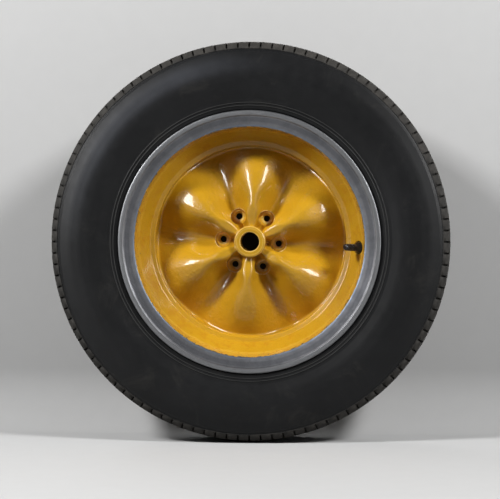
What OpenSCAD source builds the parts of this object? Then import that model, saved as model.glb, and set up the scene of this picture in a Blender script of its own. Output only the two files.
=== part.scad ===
// Racing car wheel: a one piece cast wheel with a web of six waves, a tubed racing tyre,
// the inner tube, and its valve with core and cap.
// Frame: origin at the wheel's centre, spin axis along Y, outboard face towards -Y, +Z up.
// The pieces are drawn lying down, with the spin axis along z and outboard up, and then
// turned upright, so r and z below are the radius and the outboard distance.

/* [Rim] */
// Radius of the rim flange
flange_r = 207.4; // [204:0.1:210]
// Width of the rim between the inner faces of its flanges
rim_w = 114.3; // [108:0.1:121]
// Thickness of a flange
flange_t = 7; // [6:0.1:8]
// Radius of the bead seat at the flange
bead_r = 190.1; // [189:0.1:191]
// Outer radius of the well between the beads
well_r = 162.5; // [162:0.5:165]
// Wall of the rim
rim_wall = 8.5; // [8:0.1:9]
// Width of the flat lip on the flange
lip_w = 7.4; // [6:0.1:9]
// Radius of the edge where the machined face ends and the painted barrel starts
dish_r = 181.3; // [180.5:0.1:182.5]
// Radius of the barrel's throat, where the web joins it
throat_r = 152.5; // [151:0.1:154]

/* [Web] */
// Number of waves in the web, one for each wheel stud
waves = 6; // [6:1:6]
// Angle of a wheel stud's valley, seen from outboard
stud_angle = -4.65; // [-10:0.05:10]
// Height of the ridges' tops where they are highest
ridge_h = 38.5; // [36:0.5:40]
// How far the ridges rise from the boss to their highest place
ridge_rise = 6; // [4:0.5:8]
// How far the ridges fall from there to the rim
ridge_drop = 32; // [30:0.5:34]
// Height of the valley floor round the studs above the seats
valley_h = 1.5; // [1:0.1:2.5]
// How far the valley floor drops from the studs to the rim
valley_drop = 18.5; // [16:0.5:18.5]
// Thickness of the web, square to its surface
web_t = 8.5; // [7:0.5:9]

/* [Hub] */
// Radius of the centre bore
bore_r = 15; // [13:0.1:16]
// Radius of the boss round the centre bore
boss_r = 25; // [24:0.5:26]
// Outboard face of the boss
boss_h = 41; // [39:0.5:43]
// Radius of the stud circle, half of three and a half inches
stud_circle_r = 44.45; // [44.45:0.01:44.45]
// Radius of a stud hole
stud_hole_r = 5; // [4.9:0.1:5.6]
// Largest radius of the coned nut seat
nut_seat_r = 8.5; // [7.5:0.1:9]
// Radius of the spot face round a nut seat
spot_face_r = 12.5; // [12:0.1:12.6]
// Thickness of the hub between the spot faces and the mounting face
hub_t = 12; // [11:0.5:14]

/* [Tyre] */
// Radius of the tread at the middle of the tyre
tyre_r = 318.5; // [316:0.5:322]
// Width of the tyre at its widest
tyre_w = 135; // [133:0.5:138]
// Width of the tread
tread_w = 108; // [104:1:110]
// Slots round each shoulder of the tread
slots = 108; // [72:6:120]
// Width of a shoulder slot
slot_w = 2.6; // [2:0.1:3]
// Depth of the grooves round the tread
groove_d = 6; // [4:0.5:7]
// Width of a groove
groove_w = 5; // [4:0.5:6]
// Wall of the inner tube
tube_wall = 2.5; // [2:0.1:3]

/* [Valve] */
// Angle of the valve, seen from outboard
valve_angle = -3.1; // [-6:0.1:0]
// Radius at which the valve leaves the rim's slope
valve_r = 172; // [171:0.1:173]
// Radius of the valve hole in the rim
valve_hole_r = 8; // [7.5:0.1:8]
// Radius of the recess round the valve hole
valve_recess_r = 11; // [10:0.1:11]
// Radius of the valve stem over its thread
stem_r = 3.85; // [3.8:0.01:3.9]
// End of the stem above the rim's slope
stem_h = 24; // [22:0.5:25]
// Radius of the valve cap
cap_r = 5.6; // [5.4:0.1:6]
// Length of the valve cap
cap_l = 18.5; // [17:0.5:20]

/* [Hidden] */
$fn = 96;

// Rim: half width, outboard face, bead seat taper, the slope that carries the valve with the
// line it lies on, and the narrow ledge between this slope and the throat
flange_z = rim_w / 2;
face_z = flange_z + flange_t;
bead_end_r = bead_r - 1.3;
bead_end_z = flange_z - 17.65;
slope_top = [178.5, 40.5];
slope_foot = [155.5, 12.1];
slope_dir = (slope_top - slope_foot) / norm(slope_top - slope_foot);
slope_normal = [-slope_dir[1], slope_dir[0]];
slope_tilt = atan2(slope_dir[1], slope_dir[0]);
valve_z = slope_foot[1] + (valve_r - slope_foot[0]) * tan(slope_tilt);
well_slope_foot = slope_foot - rim_wall * slope_normal;
well_z = well_slope_foot[1] + (well_r - well_slope_foot[0]) * tan(slope_tilt);
well_back_z = -33.5;
ledge_z = 15.8;
ledge_out_r = 160.3;
ledge_out_z = slope_foot[1] + (ledge_out_r - slope_foot[0]) * tan(slope_tilt);
back_slope_z = -40;
back_top = [180.3, -47];
dish_z = 58.6;
dish_foot_z = face_z - 2.25;
lip_r = flange_r - lip_w;
corner_r = 8;

// Web: the radii between which its ridges rise, its ridges and valleys fall, its ridges have
// steeper sides near the boss and broader tops towards the rim, and the limits of its grid
ridge_rise_r = [25, 60];
ridge_fall_r = [58, 152];
ridge_fall_power = 2;
valley_fall_r = [85, 152];
valley_fall_power = 1.2;
steep_r = [35, 65];
steepening = 1.4;
broad_r = [70, 105];
broadening = 0.35;
steepest = 1.6;
front_fillet = 6;
back_fillet = 6;
petal_angle = stud_angle + 180 / waves;
web_in_r = boss_r - 3;
root_r = throat_r + 0.6;
web_out_r = throat_r + 3.5;
web_columns = 96;
inner_rings = 19;
web_rings = [
    for (i = [0:inner_rings]) web_in_r * pow((root_r - front_fillet) / web_in_r, i / inner_rings),
    for (t = [0.6, 0.3, 0.13, 0]) root_r - front_fillet * t,
    web_out_r,
];

// Hub
seat_cone_h = 6;
pad_r = 13;
pad_h = 5.5;
pad_flank_w = 5;
hub_ring_r = 34;
hub_flank_r = 32;
hub_back_z = 2 - hub_t;
chamfer = 1;

// Tyre: the tread's crown and the sidewall are arcs, each given by its radius and half its
// width, with the point where the tangents at its ends meet
crown_arc_r = 300;
crown_end_z = 47;
crown_half_angle = asin(crown_end_z / crown_arc_r);
crown_end_r = tyre_r - crown_arc_r * (1 - cos(crown_half_angle));
crown_peak_r = crown_end_r + crown_end_z * tan(crown_half_angle);
shoulder_z = tread_w / 2;
block_r = 304.5;
wide_r = 262;
side_arc_r = 115;
side_half = 37;
side_half_angle = asin(side_half / side_arc_r);
side_end_z = tyre_w / 2 - side_arc_r * (1 - cos(side_half_angle));
side_peak_z = side_end_z + side_half * tan(side_half_angle);
rib_r = [219.5, 215];
rib_h = 0.9;
slot_in_z = 39;
slot_foot_r = 303.5;
slot_d = 4;
groove_z = [12, 33];
toe_z = bead_end_z + 2.5;
rim_core_r = 150;

// Valve: distances along the stem, from the rim's slope outwards
cover_in = -14;
cover_top = 8.6;
cover_r = 5.7;
cap_foot = 9.2;
cap_top = cap_foot + cap_l;
cap_bore_r = stem_r + 0.08;
cap_seal_t = 1.2;
core_bore_r = 2.5;
air_bore_r = 1.8;
core_step = 14.5;
pin_r = 0.55;
pin_top = stem_h - 0.6;
pin_foot = 3.2;
seal_t = 1;
barrel_foot = 6;
barrel_r = 1.7;
plug_h = 5;
gasket_h = 2;
spring_r = 1;
spring_wire_r = 0.16;
spring_turns = 6;

function unit(v) = v / norm(v);
function smooth(t) = let (s = max(0, min(1, t))) s * s * (3 - 2 * s);

// Points of a corner at b between a and c, rounded to the radius that is b's third value,
// in steps that keep the outline within about 0.05 mm of the true arc
function corner(a, b, c) =
    let (at = [b[0], b[1]])
    b[2] == 0 ? [at] :
    let (u = unit([a[0], a[1]] - at))
    let (v = unit([c[0], c[1]] - at))
    let (half = acos(u * v) / 2)
    let (centre = at + unit(u + v) * b[2] / sin(half))
    let (start = at + u * b[2] / tan(half) - centre)
    let (end = at + v * b[2] / tan(half) - centre)
    let (turn = atan2(cross(start, end), start * end))
    let (steps = ceil(abs(turn) * sqrt(b[2]) / 36))
    [for (i = [0:steps])
        let (w = turn * i / steps)
        centre + [start[0] * cos(w) - start[1] * sin(w), start[0] * sin(w) + start[1] * cos(w)]];

// Outline through points [r, z, corner radius]
function rounded(p) =
    [for (i = [0:len(p) - 1]) each corner(p[(i + len(p) - 1) % len(p)], p[i], p[(i + 1) % len(p)])];

// Part of the way from the first radius of a range to the second, below zero before it
function along(r, range) = (r - range[0]) / (range[1] - range[0]);

// Height of the web's outboard surface: ridges that are steep and narrow at the boss and broad
// at the rim, with valleys between them, all sinking towards the rim
function valley(r) = valley_h - valley_drop * pow(max(0, along(r, valley_fall_r)), valley_fall_power);
function ridge(r) = ridge_h - ridge_rise * (1 - smooth(along(r, ridge_rise_r)))
    - ridge_drop * pow(max(0, along(r, ridge_fall_r)), ridge_fall_power);
function crest(r, a) =
    let (c = 0.5 + 0.5 * cos(waves * (a - petal_angle)))
    let (steep = steepening * (1 - smooth(along(r, steep_r))))
    let (broad = broadening * smooth(along(r, broad_r)))
    1 - pow(1 - c, 1 + steep + broad);
function web_front(r, a) = valley(r) + (ridge(r) - valley(r)) * crest(r, a);
function web_slope(r, a) =
    let (dr = (web_front(r + 0.5, a) - web_front(r - 0.5, a)))
    let (da = (web_front(r, a + 0.5) - web_front(r, a - 0.5)) / (r * PI / 180))
    min(steepest, norm([dr, da]));
function web_back(r, a) = web_front(r, a) - web_t * sqrt(1 + pow(web_slope(r, a), 2));

// Concave fillet where the web meets the rim, as a height added at radius r
function root(r, fillet) =
    let (d = min(fillet, max(0, r - root_r + fillet)))
    fillet - sqrt(fillet * fillet - d * d);

// Inboard surface: the web's own, with sloped flanks down to the hub ring and the stud pads
function stud_distance(r, a) =
    let (near = a - stud_angle - 360 / waves * round((a - stud_angle) * waves / 360))
    norm([r * cos(near) - stud_circle_r, r * sin(near)]);
function hub_back(r, a) =
    let (ring = smooth((r - hub_flank_r) / pad_flank_w))
    let (pad = smooth((stud_distance(r, a) - pad_r + 1) / pad_flank_w))
    let (open = min(ring, pad))
    min(hub_back_z, web_back(r, a)) * (1 - open) + web_back(r, a) * open;

// Turns a piece drawn lying down into the upright frame
module upright() {
    rotate([90, 0, 0]) children();
}

// Places a piece drawn along z at the valve, with z along its stem
module at_valve() {
    rotate([0, 0, valve_angle]) translate([valve_r, 0, valve_z]) rotate([0, -slope_tilt, 0]) children();
}

// Places a piece at every stud, its own x axis turned off the middle line of the valley
module at_studs() {
    for (i = [0:waves - 1]) {
        rotate([0, 0, stud_angle + i * 360 / waves]) translate([stud_circle_r, 0, 0])
            rotate([0, 0, 37]) children();
    }
}

module tube_of(outer, inner, low, high) {
    translate([0, 0, low]) difference() {
        cylinder(r = outer, h = high - low);
        translate([0, 0, -1]) cylinder(r = inner, h = high - low + 2);
    }
}

// The tyre side of the rim, from the outboard flange to the inboard one
rim_outside = [
    [flange_r, flange_z, 1.5],
    [bead_r, flange_z, 6.5],
    [bead_end_r, bead_end_z, 4],
    [well_r, well_z, corner_r],
    [well_r, well_back_z, corner_r],
    [bead_end_r, -bead_end_z, 4],
    [bead_r, -flange_z, 6.5],
    [flange_r, -flange_z, 1.5],
];

module rim_section() {
    back_dish_r = dish_r + 1.7;
    inside = [
        [flange_r, -face_z, 2.5],
        [lip_r, -face_z, 0.8],
        [lip_r - 2, -dish_foot_z, 1.5],
        [back_dish_r, -dish_z, 3.5],
        [back_top[0], back_top[1], 6],
        [throat_r, back_slope_z, corner_r],
        [throat_r, ledge_z, 2.4],
        [ledge_out_r, ledge_out_z, 3.5],
        [slope_top[0], slope_top[1], corner_r],
        [dish_r, dish_z, 3.2],
        [lip_r - 2, dish_foot_z, 1.5],
        [lip_r, face_z, 0.8],
        [flange_r, face_z, 2.5],
    ];
    polygon(rounded(concat(rim_outside, inside)));
}

// Web between its outboard and inboard surfaces, on a grid of rings and radial columns. Its
// first and last rings lie inside the boss and the rim
module web() {
    n = web_columns;
    m = len(web_rings);
    front = [for (r = web_rings) for (j = [0:n - 1])
        let (a = stud_angle + j * 360 / n)
        [r * cos(a), r * sin(a), web_front(r, a) + root(r, front_fillet)]];
    back = [for (r = web_rings) for (j = [0:n - 1])
        let (a = stud_angle + j * 360 / n)
        [r * cos(a), r * sin(a), hub_back(r, a) - root(r, back_fillet)]];
    function at(side, i, j) = side * n * m + i * n + j % n;
    function strip(p, q, r, s) = [[p, q, s], [q, r, s]];
    faces = concat(
        [for (i = [0:m - 2]) for (j = [0:n - 1])
            each strip(at(0, i, j), at(0, i, j + 1), at(0, i + 1, j + 1), at(0, i + 1, j))],
        [for (i = [0:m - 2]) for (j = [0:n - 1])
            each strip(at(1, i, j), at(1, i + 1, j), at(1, i + 1, j + 1), at(1, i, j + 1))],
        [for (j = [0:n - 1])
            each strip(at(0, 0, j), at(1, 0, j), at(1, 0, j + 1), at(0, 0, j + 1))],
        [for (j = [0:n - 1])
            each strip(at(0, m - 1, j), at(0, m - 1, j + 1), at(1, m - 1, j + 1), at(1, m - 1, j))]);
    polyhedron(points = concat(front, back), faces = faces);
}

// Boss round the bore, which stands in the hub plate
module boss_section() {
    polygon(rounded([
        [bore_r - 2, -hub_t + 1, 0],
        [boss_r, -hub_t + 1, 0],
        [boss_r, boss_h, 3],
        [bore_r - 2, boss_h, 0],
    ]));
}

// Plate on the mounting face: a ring round the bore joined to a pad behind every stud
module hub_plate() {
    translate([0, 0, -hub_t]) linear_extrude(pad_h) {
        circle(r = hub_ring_r);
        at_studs() circle(r = pad_r);
    }
}

module nut_seat() {
    cylinder(r = spot_face_r, h = boss_h);
    translate([0, 0, -seat_cone_h]) cylinder(r1 = stud_hole_r, r2 = nut_seat_r, h = seat_cone_h + 0.001);
    translate([0, 0, -hub_t - 1]) cylinder(r = stud_hole_r, h = hub_t + 2);
}

module wheel_casting() {
    color("goldenrod") upright() difference() {
        union() {
            rotate_extrude() rim_section();
            web();
            rotate_extrude() boss_section();
            hub_plate();
        }
        translate([0, 0, -hub_t - 1]) cylinder(r = bore_r, h = hub_t + boss_h + 2);
        translate([0, 0, boss_h - chamfer]) cylinder(r1 = bore_r, r2 = bore_r + 2 * chamfer, h = 2 * chamfer);
        at_studs() nut_seat();
        at_valve() translate([0, 0, -20]) cylinder(r = valve_hole_r, h = 40);
        at_valve() translate([0, 0, -2]) cylinder(r = valve_recess_r, h = 20);
    }
}

// Outer outline of one half of the tyre, from the shoulder of the tread to the bead, with
// two fine ribs above the flange
function seal_z(r) = side_end_z - (wide_r - side_half - r) * 0.16;
function rib(r, side) = [
    [r + 0.9, side * seal_z(r + 0.9), 0],
    [r + 0.5, side * (seal_z(r) + rib_h), 0],
    [r - 0.5, side * (seal_z(r) + rib_h), 0],
    [r - 0.9, side * seal_z(r - 0.9), 0],
];
function tyre_half(side) = [
    [crown_end_r, side * crown_end_z, 0],
    [crown_end_r - 1, side * shoulder_z, 6],
    [block_r, side * (shoulder_z + 4.2), 0.8],
    [block_r - 0.9, side * (shoulder_z + 3.4), 0],
    [wide_r + side_half, side * side_end_z, 0],
    [wide_r, side * side_peak_z, side_arc_r],
    [wide_r - side_half, side * side_end_z, 0],
    each rib(rib_r[0], side),
    each rib(rib_r[1], side),
    [209.3, side * (flange_z + 1.7), 1.5],
    [207.6, side * flange_z, 0],
    [rim_core_r, side * flange_z, 0],
];

module tyre_outline() {
    up = tyre_half(1);
    down = tyre_half(-1);
    polygon(rounded(concat([[crown_peak_r, 0, crown_arc_r]], up, [for (i = [len(down) - 1:-1:0]) down[i]])));
}

// The air space: inside of the tyre's casing above, the rim's well below
function cavity(side) = [
    [304, side * 30, 20],
    [298, side * 44, 12],
    [268, side * 58.5, 30],
    [232, side * 57, 24],
    [203, side * toe_z, 6],
    [rim_core_r, side * toe_z, 0],
];

module cavity_outline() {
    up = cavity(1);
    down = cavity(-1);
    difference() {
        polygon(rounded(concat(up, [for (i = [len(down) - 1:-1:0]) down[i]])));
        rim_cut_outline();
    }
}

// The rim's own section without its hollow, which the tyre and the tube lie on
module rim_cut_outline() {
    polygon(rounded(concat(rim_outside, [[flange_r, -face_z, 0], [rim_core_r, -face_z, 0],
        [rim_core_r, face_z, 0], [flange_r, face_z, 0]])));
}

module tread_slot() {
    rotate([90, 0, 0]) translate([0, 0, -slot_w / 2]) linear_extrude(slot_w) polygon([
        [crown_end_r - slot_d, slot_in_z],
        [slot_foot_r, shoulder_z + 9],
        [tyre_r + 5, shoulder_z + 9],
        [tyre_r + 5, slot_in_z]]);
}

module tyre() {
    color("#2b2b2b") upright() difference() {
        rotate_extrude() difference() {
            tyre_outline();
            cavity_outline();
            rim_cut_outline();
            for (z = groove_z) for (side = [-1, 1]) {
                translate([tyre_r - 1 - groove_d, side * z - groove_w / 2]) square([groove_d + 5, groove_w]);
            }
        }
        for (i = [0:slots - 1]) rotate([0, 0, i * 360 / slots]) {
            tread_slot();
            mirror([0, 0, 1]) tread_slot();
        }
    }
}

module inner_tube() {
    color("#1c1c1c") upright() difference() {
        rotate_extrude() difference() {
            cavity_outline();
            offset(delta = -tube_wall) cavity_outline();
        }
        at_valve() translate([0, 0, -20]) cylinder(r = valve_hole_r, h = 40);
    }
}

module valve_stem_cover() {
    color("#242424") upright() at_valve() difference() {
        rotate_extrude() polygon(rounded([
            [0, cover_in, 0],
            [valve_hole_r, cover_in, 1],
            [valve_hole_r, -1, 1.5],
            [cover_r + 0.4, 3, 2],
            [cover_r, cover_top, 1],
            [0, cover_top, 0],
        ]));
        translate([0, 0, cover_in - 1]) cylinder(r = stem_r, h = cover_top - cover_in + 2);
    }
}

module valve_stem() {
    color("#b08d45") upright() at_valve() difference() {
        translate([0, 0, cover_in]) cylinder(r = stem_r, h = stem_h - cover_in);
        translate([0, 0, cover_in - 1]) cylinder(r = air_bore_r, h = stem_h - cover_in + 2);
        translate([0, 0, core_step]) cylinder(r = core_bore_r, h = stem_h - core_step + 1);
    }
}

// The core seats on the step of the stem's bore: gasket below, threaded plug above
module core_gasket() {
    color("#d8483a") upright() at_valve() tube_of(core_bore_r, 1, core_step, core_step + gasket_h);
}

module core_plug() {
    color("#c6a04f") upright() at_valve() difference() {
        tube_of(core_bore_r, 0.9, core_step + gasket_h, core_step + gasket_h + plug_h);
        translate([-4, -0.4, core_step + gasket_h + plug_h - 1.6]) cube([8, 0.8, 3]);
    }
}

// Barrel that hangs below the gasket, with the spring in it and the seal's seat at its foot
module core_barrel() {
    color("#c6a04f") upright() at_valve() difference() {
        tube_of(barrel_r, 0.75, barrel_foot, core_step);
        translate([0, 0, barrel_foot + 1]) cylinder(r = 1.3, h = core_step - barrel_foot);
    }
}

module core_pin() {
    color("#c9ccd0") upright() at_valve() {
        translate([0, 0, pin_foot]) cylinder(r = pin_r, h = pin_top - pin_foot);
        translate([0, 0, pin_foot + 0.6]) cylinder(r = 1.5, h = barrel_foot - seal_t - pin_foot - 0.6);
        translate([0, 0, core_step - 1.2]) cylinder(r = 0.95, h = 0.6);
    }
}

module core_pin_seal() {
    color("#303030") upright() at_valve() tube_of(1.4, pin_r, barrel_foot - seal_t, barrel_foot);
}

module core_spring() {
    foot = barrel_foot + 1 + spring_wire_r;
    head = core_step - 1.2 - spring_wire_r;
    steps = 12;
    sides = 6;
    n = spring_turns * steps;
    points = [for (i = [0:n]) for (k = [0:sides - 1])
        let (a = i * 360 / steps)
        let (b = k * 360 / sides)
        let (r = spring_r + spring_wire_r * cos(b))
        [r * cos(a), r * sin(a), foot + (head - foot) * i / n + spring_wire_r * sin(b)]];
    sheath = [for (i = [0:n - 1]) for (k = [0:sides - 1])
        let (next = (k + 1) % sides)
        [i * sides + k, i * sides + next, (i + 1) * sides + next, (i + 1) * sides + k]];
    ends = [[for (k = [sides - 1:-1:0]) k], [for (k = [0:sides - 1]) n * sides + k]];
    color("#d4d4d4") upright() at_valve() polyhedron(points = points, faces = concat(sheath, ends));
}

module cap_seal() {
    color("#3a3a3a") upright() at_valve() tube_of(stem_r - 0.1, 1.3, stem_h, stem_h + cap_seal_t);
}

module valve_cap() {
    color("#1a1a1e") upright() at_valve() difference() {
        rotate_extrude() polygon(rounded([
            [0, cap_foot, 0],
            [cap_r, cap_foot, 0.5],
            [cap_r - 0.3, cap_top, 2],
            [0, cap_top, 0],
        ]));
        translate([0, 0, cap_foot - 1]) cylinder(r = cap_bore_r, h = stem_h + cap_seal_t - cap_foot + 1);
        for (i = [0:17]) rotate([0, 0, i * 20]) translate([cap_r + 0.2, 0, cap_foot + 2]) {
            cylinder(r = 0.55, h = cap_l - 5.5, $fn = 24);
        }
    }
}

wheel_casting();
tyre();
inner_tube();
valve_stem_cover();
valve_stem();
core_barrel();
core_gasket();
core_plug();
core_pin();
core_pin_seal();
core_spring();
cap_seal();
valve_cap();
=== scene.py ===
"""Looks of the racing car wheel: cast wheel with its paint, tyre, valve, studio and camera.

Shapes are drawn in millimetres in the wheel's own terms: r is the distance from the spin axis
and h the distance outboard of the wheel's centre. Objects are made in metres in the row frame,
where the spin axis is Y, outboard is -Y and Z is up. Materials measure in metres too.
"""

import math

import bpy
import numpy as np
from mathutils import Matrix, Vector


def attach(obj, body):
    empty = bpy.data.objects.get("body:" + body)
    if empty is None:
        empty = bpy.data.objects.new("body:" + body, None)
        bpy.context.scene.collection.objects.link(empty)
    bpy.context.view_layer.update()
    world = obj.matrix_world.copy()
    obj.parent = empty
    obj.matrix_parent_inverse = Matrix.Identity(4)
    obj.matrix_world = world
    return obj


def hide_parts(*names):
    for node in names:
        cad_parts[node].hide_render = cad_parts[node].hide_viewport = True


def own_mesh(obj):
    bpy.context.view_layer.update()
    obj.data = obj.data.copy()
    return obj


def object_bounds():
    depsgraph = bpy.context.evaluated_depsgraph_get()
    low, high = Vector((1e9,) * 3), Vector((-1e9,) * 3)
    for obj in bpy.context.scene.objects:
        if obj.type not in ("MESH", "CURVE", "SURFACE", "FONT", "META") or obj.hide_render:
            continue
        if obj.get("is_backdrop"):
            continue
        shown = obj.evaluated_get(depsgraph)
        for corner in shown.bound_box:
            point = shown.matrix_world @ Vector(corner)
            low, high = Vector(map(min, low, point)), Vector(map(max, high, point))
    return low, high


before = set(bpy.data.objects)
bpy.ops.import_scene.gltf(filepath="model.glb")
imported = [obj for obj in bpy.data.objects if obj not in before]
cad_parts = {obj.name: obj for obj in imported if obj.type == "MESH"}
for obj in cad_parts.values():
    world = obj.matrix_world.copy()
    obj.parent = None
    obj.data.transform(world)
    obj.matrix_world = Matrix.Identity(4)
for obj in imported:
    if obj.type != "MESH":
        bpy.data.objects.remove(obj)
CAD_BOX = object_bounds()

MM = 0.001
TAU = 2 * math.pi
# Radius that stands for a point on the axis
ON_AXIS = 0.01

# Rim
FLANGE_R, FLANGE_H, FACE_H, FLANGE_EDGE_W = 207.4, 57.15, 64.15, 4.0
BEAD_R, BEAD_END_R, BEAD_END_H = 190.1, 188.8, 39.5
WELL_R, WELL_BACK_H, RIM_WALL = 162.5, -33.5, 8.5
SLOPE_TOP, SLOPE_FOOT = (178.5, 40.5), (155.5, 12.1)
LIP_R, LIP_W, LIP_T, DISH_R, DISH_H = 200.0, 2.0, 2.25, 181.3, 58.6
THROAT_R, LEDGE_H, LEDGE_OUT_R = 152.5, 15.8, 160.3
BACK_SLOPE_H, BACK_TOP, BACK_DISH_R, BACK_FOOT_H = -40.0, (180.3, -47.0), DISH_R + 1.7, -33.8
# Web
WAVES, STUD_ANGLE = 6, -4.65
RIDGE_H, RIDGE_RISE, RIDGE_DROP = 38.5, 6.0, 32.0
VALLEY_H, VALLEY_DROP, WEB_T, STEEPEST = 1.5, 18.5, 8.5, 1.6
RISE_FROM_R, RISE_TO_R, FALL_FROM_R, FALL_TO_R, FALL_POWER = 25.0, 60.0, 58.0, 152.0, 2.0
DROP_FROM_R, DROP_POWER = 85.0, 1.2
STEEP_FROM_R, STEEP_TO_R, STEEP = 35.0, 65.0, 1.4
BROAD_FROM_R, BROAD_TO_R, BROAD = 70.0, 105.0, 0.35
FRONT_FILLET, BACK_FILLET = 6.0, 6.0
# Hub, and the fillet at the boss's foot, which is wider in the valleys
BORE_R, BORE_EDGE, BOSS_R, BOSS_H, BOSS_ROUND, HUB_T = 15.0, 0.6, 25.0, 41.0, 3.0, 12.0
FOOT_FILLET, FOOT_FILLET_MORE = 1.4, 3.2
STUD_CIRCLE_R, STUD_PITCH, PAD_R, HUB_RING_R = 44.45, 360 / WAVES, 13.0, 34.0
PAD_FLANK_W, PAD_EDGE_W, HUB_BACK_H = 5.0, 1.2, 2 - HUB_T
STUD_HOLE_R, NUT_SEAT_R, SEAT_CONE_H, SPOT_FACE_R, SEAT_EDGE = 5.0, 8.5, 6.0, 12.5, 0.4
# Tyre
TYRE_R, SHOULDER_H, SLOTS = 318.4, 54.0, 108
# Valve, with heights along its own stem
VALVE_ANGLE, VALVE_R, VALVE_HOLE_R, VALVE_RECESS_R = -3.1, 172.0, 8.0, 11.0
STEM_R, STEM_FOOT, STEM_TOP, STEM_BORE_R = 3.85, -14.0, 24.0, 1.8
CORE_SEAT_R, CORE_SEAT_FOOT = 2.5, 14.5
THREAD_FOOT, THREAD_PITCH = 8.4, 0.79375
CAP_R, CAP_FOOT, CAP_TOP, CAP_RIBS = 5.6, 9.2, 27.7, 30
CAP_BORE_R, CAP_BORE_FOOT, CAP_BORE_TOP = 3.93, 16.0, 25.2
SPRING_FOOT, SPRING_HEAD, SPRING_TRAVEL = 7.16, 13.14, 1.3
SPRING_TURNS, SPRING_R, WIRE_R = 6, 1.0, 0.16

SLOPE_TILT = math.atan2(SLOPE_TOP[1] - SLOPE_FOOT[1], SLOPE_TOP[0] - SLOPE_FOOT[0])


def slope_h(r, foot=SLOPE_FOOT):
    """Height of a line through the point given that runs as the rim's slope does."""
    return foot[1] + (r - foot[0]) * math.tan(SLOPE_TILT)


# ---------------------------------------------------------------- mesh helpers

def corner(a, b, c, step):
    """Points of the corner at b, rounded to the radius that is b's third value."""
    at = np.array(b[:2], float)
    if b[2] == 0:
        return [tuple(at)]
    u = np.array(a[:2]) - at
    v = np.array(c[:2]) - at
    u, v = u / np.linalg.norm(u), v / np.linalg.norm(v)
    half = math.acos(float(u @ v)) / 2
    mid = (u + v) / np.linalg.norm(u + v)
    centre = at + mid * b[2] / math.sin(half)
    start = at + u * b[2] / math.tan(half) - centre
    end = at + v * b[2] / math.tan(half) - centre
    turn = math.atan2(start[0] * end[1] - start[1] * end[0], float(start @ end))
    # Roundings of 1 mm and less take a third of the points
    steps = max(1, math.ceil(abs(math.degrees(turn)) / (step if b[2] > 1 else 3 * step)))
    points = []
    for i in range(steps + 1):
        w = turn * i / steps
        points.append((centre[0] + start[0] * math.cos(w) - start[1] * math.sin(w),
                       centre[1] + start[0] * math.sin(w) + start[1] * math.cos(w)))
    return points


def rounded(points, step=9.0, closed=True):
    """The outline with its corners rounded, one point for each step of degrees."""
    out = []
    n = len(points)
    for i, p in enumerate(points):
        if not closed and i in (0, n - 1):
            out.append(tuple(p[:2]))
        else:
            out += corner(points[i - 1], p, points[(i + 1) % n], step)
    return out


def subdivide(points, longest):
    """Splits an open outline's segments so that none is longer than the length given."""
    out = []
    for a, b in zip(points, points[1:]):
        a, b = np.array(a), np.array(b)
        parts = max(1, math.ceil(np.linalg.norm(b - a) / longest))
        out += [tuple(a + (b - a) * k / parts) for k in range(parts)]
    return out + [tuple(points[-1])]


def place(r, h, angle):
    """Row frame points in metres for radius, outboard distance and angle in degrees."""
    w = np.radians(angle)
    r, h, w = np.broadcast_arrays(r, h, w)
    return np.stack([r * np.cos(w), -h, r * np.sin(w)], -1) * MM


def mesh_object(name, points, faces, sharp=None):
    """An object in the scene, smooth but for edges sharper than the angle given in degrees."""
    mesh = bpy.data.meshes.new(name)
    mesh.from_pydata([tuple(p) for p in points], [], faces)
    mesh.validate()
    mesh.shade_smooth()
    if sharp is not None:
        mesh.set_sharp_from_angle(angle=math.radians(sharp))
    obj = bpy.data.objects.new(name, mesh)
    bpy.context.scene.collection.objects.link(obj)
    return obj


def stitch(rings):
    """Faces between rings of points and from the last ring to the first, each ring a (first
    index, angles) pair. Rings with the same number of points are joined by quads, others by
    triangles in the order of their angles."""
    faces = []
    for (a, wa), (b, wb) in zip(rings, rings[1:] + rings[:1]):
        n, m = len(wa), len(wb)
        if n == m:
            faces += [(a + j, a + (j + 1) % n, b + (j + 1) % n, b + j) for j in range(n)]
            continue
        i = j = 0
        while i < n or j < m:
            next_a = wa[i + 1] if i + 1 < n else wa[0] + 360 if i < n else math.inf
            next_b = wb[j + 1] if j + 1 < m else wb[0] + 360 if j < m else math.inf
            if next_a <= next_b:
                faces.append((a + i, a + (i + 1) % n, b + j % m))
                i += 1
            else:
                faces.append((a + i % n, b + (j + 1) % m, b + j))
                j += 1
    return faces


def wheel_rings(name, rows, sharp=None):
    """A closed piece round the spin axis from rows of (r, h, angles)."""
    points, rings, count = [], [], 0
    for r, h, angles in rows:
        points.append(place(r, h, angles))
        rings.append((count, list(angles)))
        count += len(angles)
    faces = [face[::-1] for face in stitch(rings)]
    return mesh_object(name, np.concatenate(points), faces, sharp)


def lathe(name, rows, columns, sharp=None):
    """A closed piece along +Z from rows of (r, height), where r is one radius or one a column."""
    angles = np.arange(columns) * 360 / columns
    a = np.radians(angles)
    points, rings = [], []
    for r, z in rows:
        rings.append((len(points), list(angles)))
        ring = np.stack([r * np.cos(a), r * np.sin(a), np.full(columns, z)], -1) * MM
        points += [tuple(p) for p in ring]
    return mesh_object(name, points, stitch(rings), sharp)


def valve_frame():
    """The valve's own frame: where the stem leaves the rim, two axes across it, one along it."""
    w = math.radians(VALVE_ANGLE)
    radial = Vector((math.cos(w), 0, math.sin(w)))
    outboard = Vector((0, -1, 0))
    across = Vector((-math.sin(w), 0, math.cos(w)))
    x_axis = radial * math.cos(SLOPE_TILT) + outboard * math.sin(SLOPE_TILT)
    z_axis = -radial * math.sin(SLOPE_TILT) + outboard * math.cos(SLOPE_TILT)
    origin = (radial * VALVE_R + outboard * slope_h(VALVE_R)) * MM
    return origin, x_axis, across, z_axis


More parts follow.
